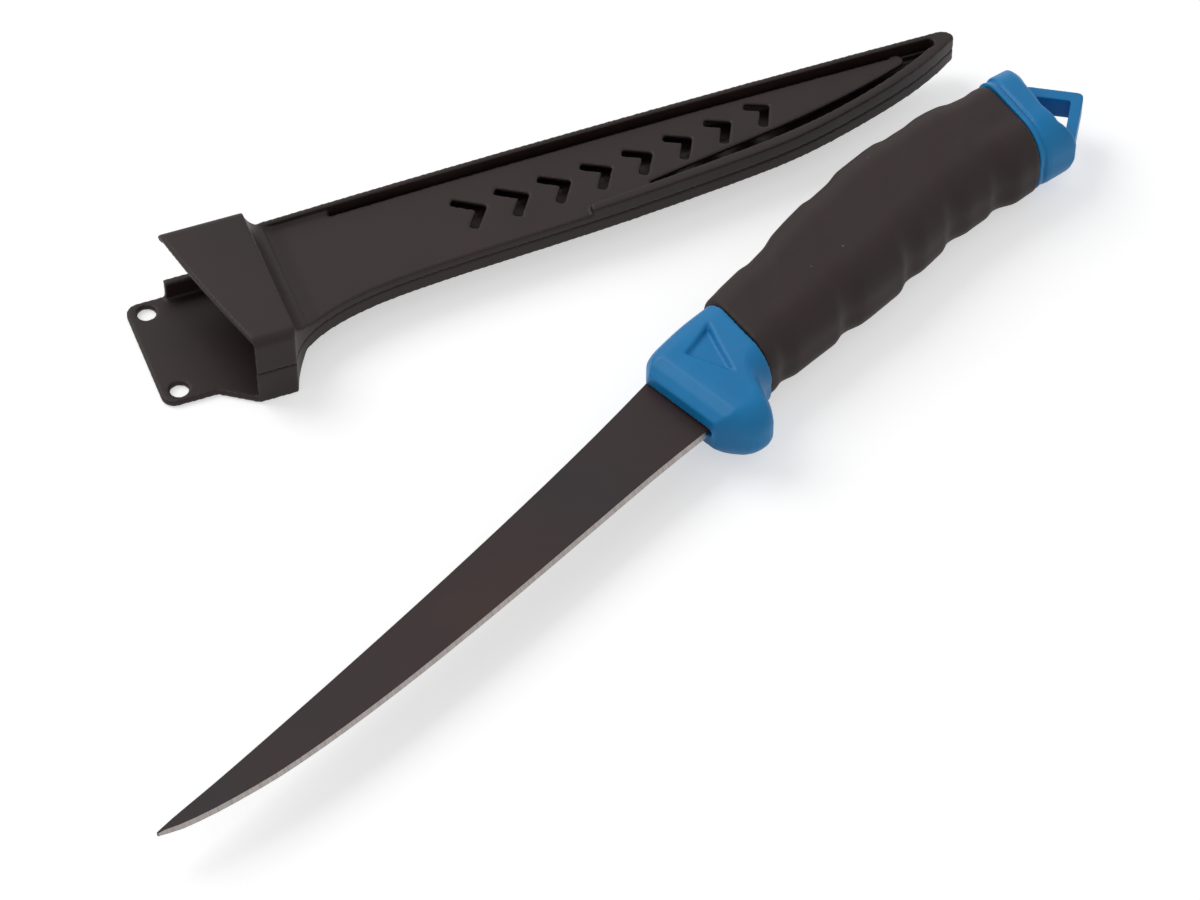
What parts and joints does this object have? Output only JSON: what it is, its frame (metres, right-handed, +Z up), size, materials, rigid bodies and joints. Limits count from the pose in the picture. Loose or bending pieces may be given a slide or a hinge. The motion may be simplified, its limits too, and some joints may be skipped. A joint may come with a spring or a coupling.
{
  "type": "fillet knife with sheath",
  "caption": "Narrow fillet knife with a blue finger guard, soft black grip and lanyard loop, lying beside its moulded belt sheath",
  "frame": {"origin": "Midway between the two holes of the sheath's belt tab, on the plane that the sheath lies on.", "axes": "+X runs from the sheath's mouth to its tip, +Y to the side of the blade's spine, +Z up, out of the panel with the windows. The knife lies drawn beside the sheath, on its side, turned 24.1 degrees about Z."},
  "size_m": [0.2558, 0.1521, 0.02],
  "materials": {
    "coated_blade": "matt black coating",
    "pin_steel": "drawn",
    "core_plastic": "moulded",
    "grip_rubber": "satin soft grip",
    "blue_plastic": "satin moulded",
    "sheath_plastic": "fine moulded grain"
  },
  "bodies": {
    "sheath": {"sheath_front_shell": "sheath_plastic", "sheath_back_shell": "sheath_plastic"},
    "knife": {"blade": "coated_blade", "tang_pins": "pin_steel", "handle_core": "core_plastic", "grip_sleeve": "grip_rubber", "guard": "blue_plastic", "end_cap": "blue_plastic"}
  },
  "joints": [
    {"name": "knife_draw", "type": "slide", "parent": "sheath", "child": "knife", "axis": [0.9128, 0.4083, 0], "range_m": [0, 0.165]}
  ]
}
